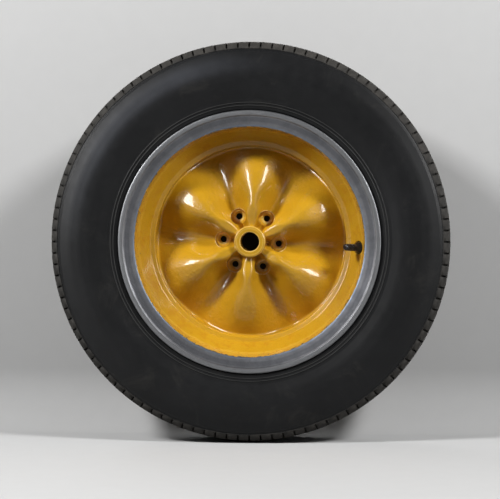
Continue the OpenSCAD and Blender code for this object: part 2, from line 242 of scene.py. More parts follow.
def at_valve(obj):
    """Moves a piece drawn along Z to the valve, with Z along the stem."""
    origin, x_axis, across, z_axis = valve_frame()
    for v in obj.data.vertices:
        v.co = origin + x_axis * v.co.x + across * v.co.y + z_axis * v.co.z
    obj.data.update()
    return obj


# ---------------------------------------------------------------- the web's surface

RIDGE_ANGLE = STUD_ANGLE + 180 / WAVES


def smooth(t):
    """0 up to 0, 1 from 1 on, and a smooth step between them."""
    s = np.clip(t, 0, 1)
    return s * s * (3 - 2 * s)


def valley(r):
    """Height of the valleys' floor."""
    part = np.maximum(0, r - DROP_FROM_R) / (FALL_TO_R - DROP_FROM_R)
    return VALLEY_H - VALLEY_DROP * part ** DROP_POWER


def ridge(r):
    """Height of the ridges' crest."""
    rise = RIDGE_RISE * (1 - smooth((r - RISE_FROM_R) / (RISE_TO_R - RISE_FROM_R)))
    fall = RIDGE_DROP * (np.maximum(0, r - FALL_FROM_R) / (FALL_TO_R - FALL_FROM_R)) ** FALL_POWER
    return RIDGE_H - rise - fall


def crest(r, a):
    """1 on the crest of a ridge and 0 in the middle of a valley."""
    c = 0.5 + 0.5 * np.cos(np.radians(WAVES * (a - RIDGE_ANGLE)))
    steep = STEEP * (1 - smooth((r - STEEP_FROM_R) / (STEEP_TO_R - STEEP_FROM_R)))
    broad = BROAD * smooth((r - BROAD_FROM_R) / (BROAD_TO_R - BROAD_FROM_R))
    return 1 - np.maximum(1 - c, 0) ** (1 + steep + broad)


def web_front(r, a):
    return valley(r) + (ridge(r) - valley(r)) * crest(r, a)


def web_back(r, a):
    """Height of the web's back, which keeps the web's thickness square to its surface."""
    dr = web_front(r + 0.5, a) - web_front(r - 0.5, a)
    da = (web_front(r, a + 0.5) - web_front(r, a - 0.5)) / (r * math.pi / 180)
    slope = np.minimum(STEEPEST, np.hypot(dr, da))
    return web_front(r, a) - WEB_T * np.sqrt(1 + slope ** 2)


def hub_back(r, a):
    """Height of the back with the mounting face's ring and the pads behind the studs."""
    near = a - STUD_ANGLE - STUD_PITCH * np.round((a - STUD_ANGLE) / STUD_PITCH)
    w = np.radians(near)
    away = np.hypot(r * np.cos(w) - STUD_CIRCLE_R, r * np.sin(w))
    opened = np.minimum(smooth((r - HUB_RING_R + 2) / PAD_FLANK_W),
                        smooth((away - PAD_R + 1) / PAD_FLANK_W))
    back = web_back(r, a)
    flank = np.minimum(HUB_BACK_H, back) * (1 - opened) + back * opened
    raised = np.minimum(smooth((r - HUB_RING_R) / PAD_EDGE_W), smooth((away - PAD_R) / PAD_EDGE_W))
    return -HUB_T * (1 - raised) + flank * raised


# ---------------------------------------------------------------- casting

COLUMNS, RIM_COLUMNS = 480, 240
FOOT_END_R, WEB_FROM_R, WEB_STEP = 36.0, 38.5, 2.7


def casting_rows():
    """Rings of the casting's surface, from the bore over the front, the rim and the back."""
    a = STUD_ANGLE + np.arange(COLUMNS) * 360 / COLUMNS
    a_rim = STUD_ANGLE + np.arange(RIM_COLUMNS) * 360 / RIM_COLUMNS
    one = np.ones(COLUMNS)
    rows = []

    def turned(points, angles=a):
        rows.extend((r, h, angles) for r, h in points)

    # Bore, boss and its side down to the web
    turned([(BORE_R, -HUB_T + BORE_EDGE), (BORE_R, 0), (BORE_R, 20), (BORE_R, BOSS_H - 1),
            (BORE_R + 1, BOSS_H), (BORE_R + 2.5, BOSS_H), (BOSS_R - 5, BOSS_H)])
    turned([(BOSS_R - BOSS_ROUND + BOSS_ROUND * math.sin(t),
             BOSS_H - BOSS_ROUND + BOSS_ROUND * math.cos(t)) for t in np.linspace(0, TAU / 4, 7)])
    fillet = FOOT_FILLET + FOOT_FILLET_MORE * (1 - crest(BOSS_R + 2, a))
    top = web_front(BOSS_R * one, a) + fillet
    for t in (0.25, 0.5, 0.75):
        rows.append((BOSS_R, BOSS_H - BOSS_ROUND + (top - BOSS_H + BOSS_ROUND) * t, a))
    for w in np.radians([90, 75, 60, 45, 30, 15, 0]):
        r = BOSS_R + fillet * (1 - math.sin(w))
        rows.append((r, web_front(r, a) + fillet * (1 - math.cos(w)), a))
    # Web, outboard
    first = BOSS_R + fillet
    for t in (0.25, 0.5, 0.75, 1.0):
        r = first + (FOOT_END_R - first) * t
        rows.append((r, web_front(r, a), a))
    for r in np.arange(WEB_FROM_R, THROAT_R - FRONT_FILLET - 1, WEB_STEP):
        rows.append((r, web_front(r * one, a), a))
    for w in np.radians(np.linspace(0, 90, 10)):
        r = (THROAT_R - FRONT_FILLET * (1 - math.sin(w))) * one
        rows.append((r, web_front(r, a) + FRONT_FILLET * (1 - math.cos(w)), a))
    # Rim: inside of the barrel, outboard flange, tyre side, inboard flange, inside again
    slope = np.array(SLOPE_TOP) - np.array(SLOPE_FOOT)
    normal = np.array([-slope[1], slope[0]]) / np.linalg.norm(slope)
    well_h = slope_h(WELL_R, np.array(SLOPE_FOOT) - RIM_WALL * normal)
    outer = [(THROAT_R, -2, 0), (THROAT_R, LEDGE_H, 2.4), (LEDGE_OUT_R, slope_h(LEDGE_OUT_R), 3.5),
             (*SLOPE_TOP, 8), (DISH_R, DISH_H, 3.2), (LIP_R - LIP_W, FACE_H - LIP_T, 1.5),
             (LIP_R, FACE_H, 0.8), (FLANGE_R, FACE_H, 2.5), (FLANGE_R, FACE_H - FLANGE_EDGE_W, 0)]
    tyre_side = [outer[-1], (FLANGE_R, FLANGE_H, 1.5), (BEAD_R, FLANGE_H, 6.5),
                 (BEAD_END_R, BEAD_END_H, 4), (WELL_R, well_h, 8), (WELL_R, WELL_BACK_H, 8),
                 (BEAD_END_R, -BEAD_END_H, 4), (BEAD_R, -FLANGE_H, 6.5), (FLANGE_R, -FLANGE_H, 1.5),
                 (FLANGE_R, -FACE_H + FLANGE_EDGE_W, 0)]
    inner = [tyre_side[-1], (FLANGE_R, -FACE_H, 2.5), (LIP_R, -FACE_H, 0.8),
             (LIP_R - LIP_W, -FACE_H + LIP_T, 1.5), (BACK_DISH_R, -DISH_H, 3.5), (*BACK_TOP, 6),
             (THROAT_R, BACK_SLOPE_H, 8), (THROAT_R, BACK_FOOT_H, 0)]
    turned(subdivide(rounded(outer, 9, closed=False)[1:], 8), a_rim)
    turned(rounded(tyre_side, 30, closed=False)[1:-1], a_rim)
    turned(subdivide(rounded(inner, 15, closed=False)[:-1], 14), a_rim)
    # Web, inboard, with the stud pads and the mounting face
    for w in np.radians(np.linspace(90, 0, 7)):
        r = (THROAT_R - BACK_FILLET * (1 - math.sin(w))) * one
        rows.append((r, web_back(r, a) - BACK_FILLET * (1 - math.cos(w)), a))
    # Rings close together over the pads
    back_radii = [*np.arange(146, 62, -4.2), *np.arange(61, 34.5, -0.9), 34.4, HUB_RING_R]
    for r in back_radii:
        rows.append((r, hub_back(r * one, a), a))
    turned([(r, -HUB_T) for r in (30, 22, BORE_R + BORE_EDGE)])
    return rows


def casting_cutters():
    """Solids that cut out the nut seats with their holes, and the valve's hole and recess."""
    seat = [(ON_AXIS, -15), (STUD_HOLE_R + 1.9, -HUB_T - 1.3), (STUD_HOLE_R, -HUB_T + 0.6),
            (STUD_HOLE_R, -SEAT_CONE_H), (NUT_SEAT_R, 0.0), (NUT_SEAT_R + SEAT_EDGE, 0.12),
            (SPOT_FACE_R - SEAT_EDGE, 0.12), (SPOT_FACE_R, 0.12 + SEAT_EDGE),
            (SPOT_FACE_R, BOSS_H), (ON_AXIS, BOSS_H + 1)]
    cutters = []
    for i in range(WAVES):
        cutter = lathe("cutter", seat, 72)
        w = math.radians(STUD_ANGLE + STUD_PITCH * i)
        for v in cutter.data.vertices:
            x, y, z = v.co
            v.co = (x + STUD_CIRCLE_R * MM * math.cos(w), -z, y + STUD_CIRCLE_R * MM * math.sin(w))
        cutters.append(cutter)
    hole = [(ON_AXIS, -25), (VALVE_HOLE_R, -25), (VALVE_HOLE_R, -2.0),
            (VALVE_RECESS_R - 0.6, -2.0), (VALVE_RECESS_R, -1.4), (VALVE_RECESS_R, 12),
            (ON_AXIS, 13)]
    return cutters + [at_valve(lathe("cutter", hole, 72))]


def wheel_casting():
    body = wheel_rings("wheel_casting_cast", casting_rows())
    cutters = casting_cutters()
    for cutter in cutters:
        modifier = body.modifiers.new("cut", "BOOLEAN")
        modifier.operation = "DIFFERENCE"
        modifier.solver = "MANIFOLD"
        modifier.object = cutter
    bpy.context.view_layer.update()
    evaluated = body.evaluated_get(bpy.context.evaluated_depsgraph_get())
    result = bpy.data.meshes.new_from_object(evaluated)
    body.modifiers.clear()
    body.data = result
    for cutter in cutters:
        bpy.data.objects.remove(cutter)
    result.shade_smooth()
    result.set_sharp_from_angle(angle=math.radians(32))
    return body


# ---------------------------------------------------------------- tyre

SIDE_ARC_R, SIDE_HALF, WIDE_R, TYRE_HALF_W = 115.0, 37.0, 262.0, 67.5
SIDE_ANGLE = math.asin(SIDE_HALF / SIDE_ARC_R)
SIDE_END_H = TYRE_HALF_W - SIDE_ARC_R * (1 - math.cos(SIDE_ANGLE))
SIDE_PEAK_H = SIDE_END_H + SIDE_HALF * math.tan(SIDE_ANGLE)
TOE_R, RIB_RADII = 203.0, (215.0, 219.5)
CROWN_R, CROWN_END_H, BLOCK_R = 300.0, 47.0, 304.5
CROWN_END_R = TYRE_R - CROWN_R * (1 - math.cos(math.asin(CROWN_END_H / CROWN_R)))
GROOVES, GROOVE_W, GROOVE_D = (12.0, 33.0), 5.0, 6.0
SLOT_IN_H, SLOT_W, SLOT_MEAN_R = 39.0, 2.6, 311.0
SLOT_FOOT, SLOT_FOOT_END = (CROWN_END_R - 4.0, SLOT_IN_H), (303.5, SHOULDER_H + 9)


def crown(h):
    """Radius of the tread's surface."""
    return TYRE_R - CROWN_R + math.sqrt(CROWN_R ** 2 - h ** 2)


def on_crown(*heights):
    return [(crown(h), h) for h in heights]


def tyre_side():
    """One side from the toe of the bead up to the line under the tread blocks."""
    def wall_h(r):
        return SIDE_END_H - (WIDE_R - SIDE_HALF - r) * 0.16

    ribs = []
    for r in RIB_RADII:
        ribs += [(r - 1.1, wall_h(r - 1.1), 0.3), (r - 0.5, wall_h(r) + 0.9, 0.35),
                 (r + 0.5, wall_h(r) + 0.9, 0.35), (r + 1.1, wall_h(r + 1.1), 0.3)]
    side = [(TOE_R, 42, 0), (BEAD_R - 2.0, 42.3, 1), (BEAD_R + 0.05, FLANGE_H + 0.05, 6.5),
            (207.6, FLANGE_H + 0.05, 1), (209.3, FLANGE_H + 1.7, 1.2), *ribs,
            (WIDE_R - SIDE_HALF, SIDE_END_H, 0), (WIDE_R, SIDE_PEAK_H, SIDE_ARC_R),
            (WIDE_R + SIDE_HALF, SIDE_END_H, 0)]
    return subdivide(rounded(side, 8.0, closed=False), 6)


def tread_blocks():
    """The shoulder's blocks, from the line under them to the inner ends of the slots."""
    shoulder = [(WIDE_R + SIDE_HALF, SIDE_END_H, 0), (BLOCK_R - 0.9, SHOULDER_H + 3.4, 0.3),
                (BLOCK_R, SHOULDER_H + 4.2, 0.8), (CROWN_END_R - 1, SHOULDER_H, 6),
                (crown(47.5), 47.5, 0)]
    return (subdivide(rounded(shoulder, 20.0, closed=False), 4)[1:]
            + on_crown(45, 42, SLOT_IN_H + 0.5))


def tread_middle():
    """Half of the tread between the slots, with its plain grooves."""
    floor = TYRE_R - 1 - GROOVE_D
    middle = []
    for g in reversed(GROOVES):
        out, inn = g + GROOVE_W / 2, g - GROOVE_W / 2
        middle += [(crown(out + 0.5), out + 0.5), (crown(out) - 0.4, out),
                   (floor + 0.8, out - 0.35), (floor, out - 1.1), (floor, inn + 1.1),
                   (floor + 0.8, inn + 0.35), (crown(inn) - 0.4, inn),
                   (crown(inn - 0.5), inn - 0.5)]
        if g == GROOVES[1]:
            middle += on_crown(27, 22, 18)
    return middle + on_crown(6, 2)


def tyre():
    inside = rounded([(TOE_R, 42.1, 0), (232, 57, 24), (268, 58.5, 30), (298, 44, 12),
                      (304, 30, 20), (304, 8, 0)], 20.0, closed=False)
    # Angles of the rings: dense at the edges of every slot, and how deep the slot is there
    pitch = 360 / SLOTS
    unit = math.degrees(1 / SLOT_MEAN_R)
    half = SLOT_W / 2
    offsets = [-half - 0.45, -half - 0.06, -half + 0.1, half - 0.1, half + 0.06, half + 0.45,
               math.radians(pitch) * SLOT_MEAN_R / 2]
    depths = np.array([0.0, 0.3, 1.0, 1.0, 0.3, 0.0, 0.0] * SLOTS)
    fine = np.array([i * pitch + o * unit for i in range(SLOTS) for o in offsets])
    coarse = np.arange(SLOTS * 3) * pitch / 3
    rough = np.arange(SLOTS) * pitch

    foot, foot_end = np.array(SLOT_FOOT), np.array(SLOT_FOOT_END)
    along = (foot_end - foot) / np.linalg.norm(foot_end - foot)
    out_normal = np.array([along[1], -along[0]])
    out_normal *= np.sign(out_normal[0])

    def slotted(point):
        """The point all round the tyre, sunk to the slots' floor where a slot cuts it."""
        above = max(0.0, float((np.array(point) - foot) @ out_normal))
        moved = np.array(point)[None, :] - out_normal[None, :] * (above * depths)[:, None]
        return moved[:, 0], moved[:, 1]

    outboard = [(r, h, rough) for r, h in reversed(inside)]
    outboard += [(r, h, coarse) for r, h in tyre_side()]
    outboard += [(*slotted(point), fine) for point in tread_blocks()]
    outboard += [(r, h, fine) for r, h in on_crown(SLOT_IN_H)]
    outboard += [(r, h, coarse) for r, h in tread_middle()]
    inboard = [(r, -h, angles) for r, h, angles in reversed(outboard)]
    return wheel_rings("tyre_tread_and_walls", outboard + inboard, 34)


# ---------------------------------------------------------------- valve

def valve_cap():
    """Moulded cap with fine ribs round its side and a bore that fits over the stem."""
    rib = np.array([0.0, 0.22, 0.5, 0.5, 0.5, 0.22])
    cut = np.tile(rib, CAP_RIBS)
    edge, top_round = 0.35, 2
    # Radius, height and whether the ribs cut in there
    rows = [(CAP_BORE_R + 0.02, CAP_FOOT + 0.5, 0), (4.3, CAP_FOOT, 0), (CAP_R - 0.4, CAP_FOOT, 0),
            (CAP_R - 0.1, CAP_FOOT + 0.15, 0), (CAP_R, CAP_FOOT + 0.5, 0),
            (CAP_R, CAP_FOOT + 1.6, 0), (CAP_R, CAP_FOOT + 2.2, 1), (CAP_R - 0.1, CAP_FOOT + 8, 1),
            (CAP_R - 0.2, CAP_TOP - 3.4, 1), (CAP_R - 0.25, CAP_TOP - 2.8, 0)]
    for t in np.radians(np.linspace(0, 90, 7)):
        rows.append((CAP_R - 0.3 - top_round * (1 - math.cos(t)),
                     CAP_TOP - top_round + top_round * math.sin(t), 0))
    rows += [(2.4, CAP_TOP, 0), (1.6, CAP_TOP - edge, 0), (0.02, CAP_TOP - edge, 0),
             (0.02, CAP_BORE_TOP, 0), (CAP_BORE_R, CAP_BORE_TOP, 0),
             (CAP_BORE_R, CAP_BORE_FOOT, 0)]
    shape = [(r - cut * ribbed, z) for r, z, ribbed in rows]
    return at_valve(lathe("valve_cap_ribbed", shape, len(cut), 35))


def valve_stem():
    """Brass stem with its screw thread."""
    columns = 48
    thread = np.array([0.0, 0.0, 0.14, 0.3, 0.43, 0.43, 0.3, 0.14])
    per = len(thread)
    count = int((STEM_TOP - 0.6 - THREAD_FOOT) / THREAD_PITCH * per)
    # Radius, height and how much of the thread's depth is cut there
    rows = [(STEM_BORE_R, STEM_FOOT, 0), (STEM_R - 0.3, STEM_FOOT, 0), (STEM_R, STEM_FOOT + 0.3, 0),
            (STEM_R, THREAD_FOOT - 0.3, 0)]
    for i in range(count + 1):
        rows.append((STEM_R, THREAD_FOOT + i * THREAD_PITCH / per, 1 if 3 < i < count - 3 else 0.5))
    rows += [(STEM_R - 0.5, STEM_TOP, 0), (CORE_SEAT_R, STEM_TOP, 0),
             (CORE_SEAT_R, CORE_SEAT_FOOT, 0), (STEM_BORE_R, CORE_SEAT_FOOT, 0)]
    turn = np.arange(columns) / columns
    shape = []
    for r, z, threaded in rows:
        phase = ((z - THREAD_FOOT) / THREAD_PITCH * per - turn * per) % per
        low = np.floor(phase).astype(int)
        part = phase - low
        cut = thread[low % per] * (1 - part) + thread[(low + 1) % per] * part
        shape.append((r - cut * threaded, z))
    return at_valve(lathe("valve_stem_threaded", shape, columns, 50))


def valve_stem_cover():
    outline = rounded([(3.9, STEM_FOOT, 0), (8.0, STEM_FOOT, 1), (8.0, -1.0, 1.5), (6.1, 3.0, 2),
                       (5.7, 8.6, 1), (3.9, 8.6, 0)], 12)
    return at_valve(lathe("valve_stem_cover_rubber", outline, 64, 40))


def core_spring():
    """Coil spring of the valve core, drawn as a round wire along a helix."""
    steps, sides = 24, 8
    n = SPRING_TURNS * steps
    points, faces = [], []
    for i in range(n + 1):
        a = TAU * i / steps
        for k in range(sides):
            b = TAU * k / sides
            r = SPRING_R + WIRE_R * math.cos(b)
            z = SPRING_FOOT + (SPRING_HEAD - SPRING_FOOT) * i / n + WIRE_R * math.sin(b)
            points.append((r * math.cos(a) * MM, r * math.sin(a) * MM, z * MM))
    for i in range(n):
        for k in range(sides):
            faces.append((i * sides + k, i * sides + (k + 1) % sides,
                          (i + 1) * sides + (k + 1) % sides, (i + 1) * sides + k))
    faces += [tuple(range(sides))[::-1], tuple(n * sides + k for k in range(sides))]
    return at_valve(mesh_object("core_spring_wire", points, faces, 60))


# ---------------------------------------------------------------- material helpers

class Shader:
    """A node material with short ways to add its nodes. Its r is the distance from the axis."""

    def __init__(self, name):
        self.material = bpy.data.materials.new(name)
        self.material.use_nodes = True
        self.tree = self.material.node_tree
        self.tree.nodes.clear()
        out = self.tree.nodes.new("ShaderNodeOutputMaterial")
        self.bsdf = self.tree.nodes.new("ShaderNodeBsdfPrincipled")
        self.tree.links.new(self.bsdf.outputs[0], out.inputs["Surface"])
        self.place = self.add("ShaderNodeTexCoord").outputs["Object"]
        xyz = self.add("ShaderNodeSeparateXYZ", {0: self.place})
        self.x, self.y, self.z = xyz.outputs
        self.r = self.length(self.x, self.z)

    def add(self, kind, inputs=None, **settings):
        node = self.tree.nodes.new(kind)
        for key, value in settings.items():
            setattr(node, key, value)
        for key, value in (inputs or {}).items():
            self.put(node.inputs[key], value)
        return node

    def put(self, socket, value):
        if isinstance(value, bpy.types.NodeSocket):
            self.tree.links.new(value, socket)
        else:
            socket.default_value = value

    def set(self, **values):
        """Inputs of the surface, with _ for each space in a name."""
        for key, value in values.items():
            self.put(self.bsdf.inputs[key.replace("_", " ")], value)

    def math(self, operation, a, b=0.0, clamp=False):
        return self.add("ShaderNodeMath", {0: a, 1: b}, operation=operation,
                        use_clamp=clamp).outputs[0]

    def plus(self, a, b, clamp=False):
        return self.math("ADD", a, b, clamp)

    def minus(self, a, b):
        return self.math("SUBTRACT", a, b)

    def times(self, a, b):
        return self.math("MULTIPLY", a, b)

    def length(self, a, b):
        return self.math("SQRT", self.plus(self.times(a, a), self.times(b, b)))

    def vector(self, operation, *values):
        return self.add("ShaderNodeVectorMath", dict(enumerate(values)), operation=operation)

    def noise(self, scale, detail=3.0, roughness=0.5, distortion=0.0):
        return self.add("ShaderNodeTexNoise", {"Vector": self.place, "Scale": scale,
                                               "Detail": detail, "Roughness": roughness,
                                               "Distortion": distortion}).outputs[0]

    def wave(self, value, scale, detail=2.0):
        """Noise that changes only with the value given."""
        return self.add("ShaderNodeTexNoise", {"W": value, "Scale": scale, "Detail": detail},
                        noise_dimensions="1D").outputs[0]

    def step(self, value, low, high, out_low=0.0, out_high=1.0):
        """A soft step between low and high."""
        node = self.add("ShaderNodeMapRange",
                        {0: value, 1: low, 2: high, 3: out_low, 4: out_high},
                        interpolation_type="SMOOTHSTEP")
        return node.outputs[0]

    def line(self, value, low, high, out_low=0.0, out_high=1.0):
        """A straight change between low and high."""
        return self.add("ShaderNodeMapRange",
                        {0: value, 1: low, 2: high, 3: out_low, 4: out_high}).outputs[0]

    def spread(self, noise, out_low=0.0, out_high=1.0):
        """A noise's usual values, 0.3 to 0.7, stretched to the range given."""
        return self.line(noise, 0.3, 0.7, out_low, out_high)

    def band(self, value, low, high, soft):
        """1 between low and high, with soft ends."""
        return self.times(self.step(value, low - soft, low + soft),
                          self.step(value, high - soft, high + soft, 1.0, 0.0))

    def mixed(self, data_type, sockets, values):
        node = self.add("ShaderNodeMix", data_type=data_type)
        for socket, value in zip(sockets, values):
            if isinstance(value, tuple):
                value = (*value, 1.0)
            self.put(node.inputs[socket], value)
        return node.outputs

    def mix(self, factor, a, b):
        """Colours, a where the factor is 0 and b where it is 1."""
        return self.mixed("RGBA", (0, 6, 7), (factor, a, b))[2]

    def blend(self, factor, a, b):
        """Values, a where the factor is 0 and b where it is 1."""
        return self.mixed("FLOAT", (0, 2, 3), (factor, a, b))[0]

    def tint(self, colour, mask, amount, towards):
        """The colour changed by the amount towards another where the mask is 1."""
        return self.mix(self.times(mask, amount), colour, towards)

    def bump(self, height, distance, normal=None):
        node = self.add("ShaderNodeBump", {"Height": height, "Distance": distance, "Strength": 1.0})
        if normal is not None:
            self.put(node.inputs["Normal"], normal)
        return node.outputs[0]


# ---------------------------------------------------------------- casting's material

PAINT_DEEP, PAINT_LIGHT = (0.55, 0.290, 0.010), (0.62, 0.335, 0.014)
# Grain of the paint, and a lighter paint that is a painted highlight along its rounded edge
PAINT_GRAIN, PAINT_EDGE_HIGHLIGHT = (0.48, 0.24, 0.008), (0.72, 0.44, 0.06)
# Painted light: a lighter paint for the nut seats' floors, which lie in the shade of the ridges
SEAT_FLOOR_LIGHT = (0.98, 0.60, 0.05)
STAIN, SPECK = (0.50, 0.19, 0.008), (0.46, 0.15, 0.012)
# Nut seats' worn paint, lightened as painted light; a painted highlight for the outer wall of their
# recesses; and the colour of the painted highlight rings on the boss
SEAT_WEAR_AND_LIGHT, SEAT_WALL_HIGHLIGHT, BOSS_HIGHLIGHT = (0.72, 0.56, 0.16), (0.95, 0.74, 0.34), (0.92, 0.66, 0.24)
# Painted shade: round the valve in its recess, and in the stud holes
VALVE_RECESS_SHADE, HOLE_SHADE = (0.035, 0.022, 0.006), (0.02, 0.016, 0.012)
METAL_DARK, METAL_LIGHT = (0.085, 0.087, 0.094), (0.165, 0.168, 0.180)
# Turned rings, and a lighter metal that is a painted highlight on the lip
METAL_RINGS, METAL_LIP_HIGHLIGHT = (0.22, 0.22, 0.23), (0.24, 0.245, 0.25)
# A darker metal for a band of the dish inside the lip's step, and a bluish tint
METAL_DARKER, METAL_BLUE = (0.055, 0.057, 0.066), (0.15, 0.19, 0.25)
# Radii in metres: the zone of chips inside the paint's edge, the painted highlight along the
# paint's edge, where stains begin, the bands of the bare flange, one of them a painted highlight on
# the lip, and the painted highlight rings on the boss with their strength
CHIPS_FROM, EDGE_HIGHLIGHT_FROM, STAIN_FROM = 0.1765, 0.1752, (0.155, 0.163)
LIP_HIGHLIGHT_STEP, DARKER_BAND, BLUE_BAND = (0.1985, 0.2005), (0.1890, 0.1965), (0.1812, 0.1848)
# Painted highlight rings on the boss: from radius, to radius, strength
BOSS_HIGHLIGHT_RINGS = ((0.0152, 0.0164, 1.0), (0.0205, 0.0213, 0.6), (0.0236, 0.0246, 0.7))


def painted_casting():
    """Gold paint over cast metal, bare turned flange, worn seats, and painted light and shade."""
    s = Shader("painted_casting")
    mottle = s.noise(9.0, 4.0, 0.6)
    fine = s.noise(420.0, 3.0, 0.55)
    cast = s.noise(80.0, 4.0, 0.6)
    # Where the paint ends, with small chips along its edge
    dish = DISH_R * MM
    edge_noise = s.noise(230.0, 4.0, 0.65)
    chip_noise = s.noise(120.0, 5.0, 0.7)
    ragged = s.line(s.plus(edge_noise, s.times(chip_noise, 0.8)), 0.6, 1.2, -0.0013, 0.0010)
    paint = s.step(s.plus(s.r, ragged), dish - 0.0002, dish + 0.0002, 1.0, 0.0)
    near_edge = s.step(s.r, CHIPS_FROM, dish)
    chips = s.step(s.plus(chip_noise, s.times(near_edge, 0.13)), 0.70, 0.715)
    specks = s.times(s.step(s.noise(310.0, 3.0, 0.6), 0.56, 0.62),
                     s.band(s.r, CHIPS_FROM, 0.1830, 0.0012))
    paint = s.times(paint, s.minus(1.0, chips))
    # Distance from the nearest stud, for the seats that are worn bare where the nuts turn and made
    # lighter there as painted light, with painted light on their floors and a painted highlight on
    # the outer wall of their recesses
    angle = s.minus(s.math("ARCTAN2", s.z, s.x), math.radians(STUD_ANGLE))
    pitch = math.radians(STUD_PITCH)
    near = s.minus(angle, s.times(s.math("ROUND", s.math("DIVIDE", angle, pitch)), pitch))
    dx = s.minus(s.times(s.r, s.math("COSINE", near)), STUD_CIRCLE_R * MM)
    dy = s.times(s.r, s.math("SINE", near))
    away = s.length(dx, dy)
    seat_distance = s.plus(away, s.spread(edge_noise, -0.0009, 0.0009))
    # Masks: the worn seat cone, lightened as painted light; the painted highlight on the outer wall
    # of the recess; the painted light on the seat's floor
    seat = s.times(s.step(seat_distance, 0.0051, 0.0054), s.step(seat_distance, 0.0086, 0.0091, 1.0, 0.0))
    seat_wall_highlight = s.times(s.band(seat_distance, 0.0121, 0.0133, 0.0003), s.step(dx, 0.001, 0.006))
    seat_floor_light = s.step(seat_distance, 0.0115, 0.0123, 1.0, 0.0)
    inside_hole = s.step(away, 0.0049, 0.0052, 1.0, 0.0)
    # Bare metal of the flange, lighter from the lip's step outward as a painted highlight on the
    # lip
    rings = s.wave(s.r, 2600.0, 3.0)
    patina = s.noise(26.0, 6.0, 0.7)
    metal = s.mix(s.step(patina, 0.35, 0.68), METAL_DARK, METAL_LIGHT)
    metal = s.mix(s.spread(rings, 0.0, 0.3), metal, METAL_RINGS)
    metal = s.tint(metal, s.step(s.r, *LIP_HIGHLIGHT_STEP), 0.45, METAL_LIP_HIGHLIGHT)
    metal = s.tint(metal, s.band(s.r, *DARKER_BAND, 0.0015), 0.45, METAL_DARKER)
    metal = s.tint(metal, s.band(s.r, *BLUE_BAND, 0.0012), 0.4, METAL_BLUE)
    # Paint with stains and specks, lighter in a band along its rounded edge as a painted highlight
    colour = s.mix(s.step(mottle, 0.35, 0.7), PAINT_DEEP, PAINT_LIGHT)
    colour = s.mix(s.spread(fine, 0.0, 0.12), colour, PAINT_GRAIN)
    wavering_r = s.plus(s.r, s.spread(s.noise(70.0, 3.0, 0.6), -0.0012, 0.0012))
    colour = s.tint(colour, s.step(wavering_r, EDGE_HIGHLIGHT_FROM, EDGE_HIGHLIGHT_FROM + 0.0006), 0.38, PAINT_EDGE_HIGHLIGHT)
    stain = s.times(s.step(s.noise(55.0, 6.0, 0.72), 0.50, 0.64), s.step(s.r, *STAIN_FROM))
    colour = s.tint(colour, stain, 0.4, STAIN)
    colour = s.tint(colour, specks, 0.6, SPECK)
    # Painted highlight on the outer wall of each seat's recess, painted light on the seat floors,
    # and the worn seats, lightened as painted light
    colour = s.tint(colour, seat_wall_highlight, 0.8, SEAT_WALL_HIGHLIGHT)
    colour = s.tint(colour, seat_floor_light, 0.6, SEAT_FLOOR_LIGHT)
    colour = s.tint(colour, seat, 0.4, SEAT_WEAR_AND_LIGHT)
    # Painted highlights: light rings on the bore's chamfer and at the rounded edge of the boss's
    # face
    on_boss = s.step(s.y, -0.036, -0.037)
    boss_highlights = 0.0
    for low, high, strength in BOSS_HIGHLIGHT_RINGS:
        boss_highlights = s.plus(boss_highlights, s.times(s.band(s.r, low, high, 0.0004), strength))
    colour = s.tint(colour, s.times(on_boss, boss_highlights), 0.6, BOSS_HIGHLIGHT)
    # Painted shade in the recess round the valve, by the distance from the stem's axis
    valve_at, _, _, along_stem = valve_frame()
    from_valve = s.vector("SUBTRACT", s.place, valve_at).outputs[0]
    across = s.vector("CROSS_PRODUCT", from_valve, along_stem).outputs[0]
    off_axis = s.vector("LENGTH", across).outputs["Value"]
    recess_shade = s.times(s.step(off_axis, 0.0102, 0.0113, 1.0, 0.0), s.step(s.r, 0.15, 0.155))
    colour = s.tint(colour, recess_shade, 0.9, VALVE_RECESS_SHADE)
    # Painted shade inside the stud holes
    colour = s.mix(inside_hole, colour, HOLE_SHADE)
    s.set(Base_Color=s.mix(paint, metal, colour), Metallic=s.blend(paint, 0.85, 0.0))
    s.set(Roughness=s.blend(paint, s.spread(patina, 0.52, 0.38), s.spread(cast, 0.28, 0.40)))
    s.set(Coat_Weight=s.blend(paint, 0.0, 0.5), Coat_Roughness=0.085, Specular_IOR_Level=0.22)
    # Crinkled paint, turned rings in the metal, and the step at the paint's edge
    height = s.plus(cast, s.times(s.noise(240.0, 3.0, 0.6), 0.55))
    height = s.plus(height, s.times(fine, 0.22))
    bumped = s.bump(s.times(height, paint), 0.0011)
    bumped = s.bump(s.times(rings, s.minus(1.0, paint)), 0.00012, bumped)
    s.set(Normal=s.bump(paint, 0.00018, bumped))
    return s.material


# ---------------------------------------------------------------- other materials

WALL_DARK, WALL_LIGHT = (0.0048, 0.0050, 0.0055), (0.0090, 0.0093, 0.0101)
# Colour of the ribs, and a lighter bluish grey that is a painted sheen on the wall
WALL_RIBS, WALL_SHEEN = (0.060, 0.060, 0.058), (0.046, 0.049, 0.058)
WALL_SMUDGE = (0.026, 0.025, 0.023)
TREAD_DARK, TREAD_LIGHT = (0.030, 0.028, 0.025), (0.052, 0.048, 0.043)


